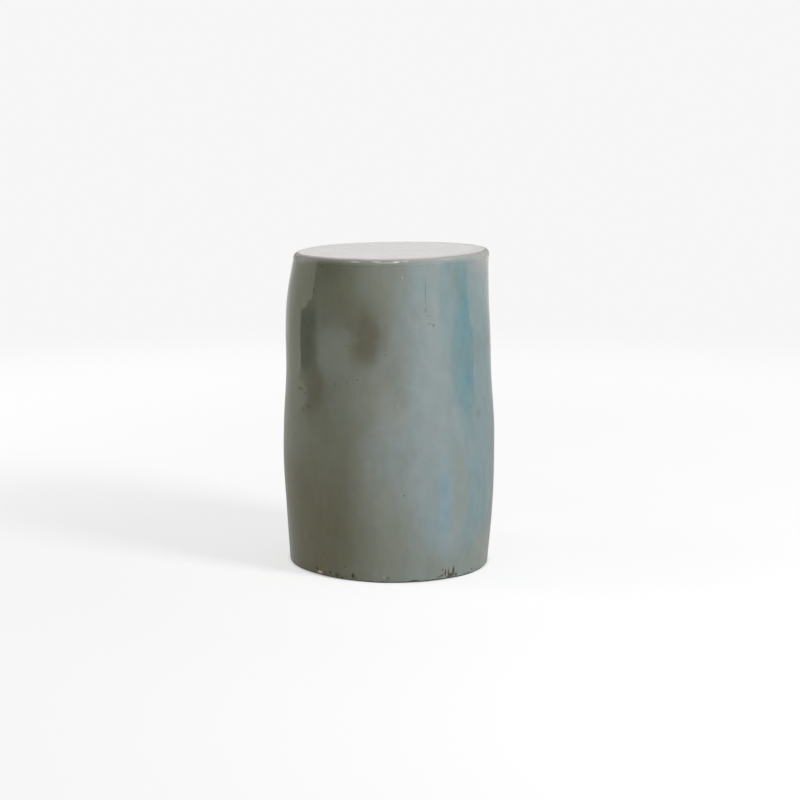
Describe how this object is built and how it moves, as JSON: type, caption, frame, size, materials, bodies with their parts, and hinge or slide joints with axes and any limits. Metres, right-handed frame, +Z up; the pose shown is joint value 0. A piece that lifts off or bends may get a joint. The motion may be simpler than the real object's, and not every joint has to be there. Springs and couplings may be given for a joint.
{
  "type": "ceramic garden stool",
  "caption": "Hand-built, barrel-shaped glazed stoneware stool with a flat round seat and an open foot, for sitting or as a side table indoors or out.",
  "frame": {"origin": "on the floor, under the middle of the belly", "axes": "+Z up, and the side seen in the picture faces -Y with its left at -X"},
  "size_m": [0.3096, 0.309, 0.4589],
  "materials": {
    "glaze": "glossy reactive glaze that runs from olive to celadon and blue-grey, with vertical flow streaks",
    "stoneware": "bare fired clay, matt, with finger and rib marks",
    "felt": "dense pressed felt"
  },
  "bodies": {
    "root": {"seat_slab": "stoneware", "upper_wall": "stoneware", "lower_wall": "stoneware", "seat_coil": "stoneware", "joint_coil": "stoneware", "foot_ring": "stoneware", "seat_glaze": "glaze", "wall_glaze": "glaze", "floor_pad_1": "felt", "floor_pad_2": "felt", "floor_pad_3": "felt", "floor_pad_4": "felt"}
  },
  "joints": []
}
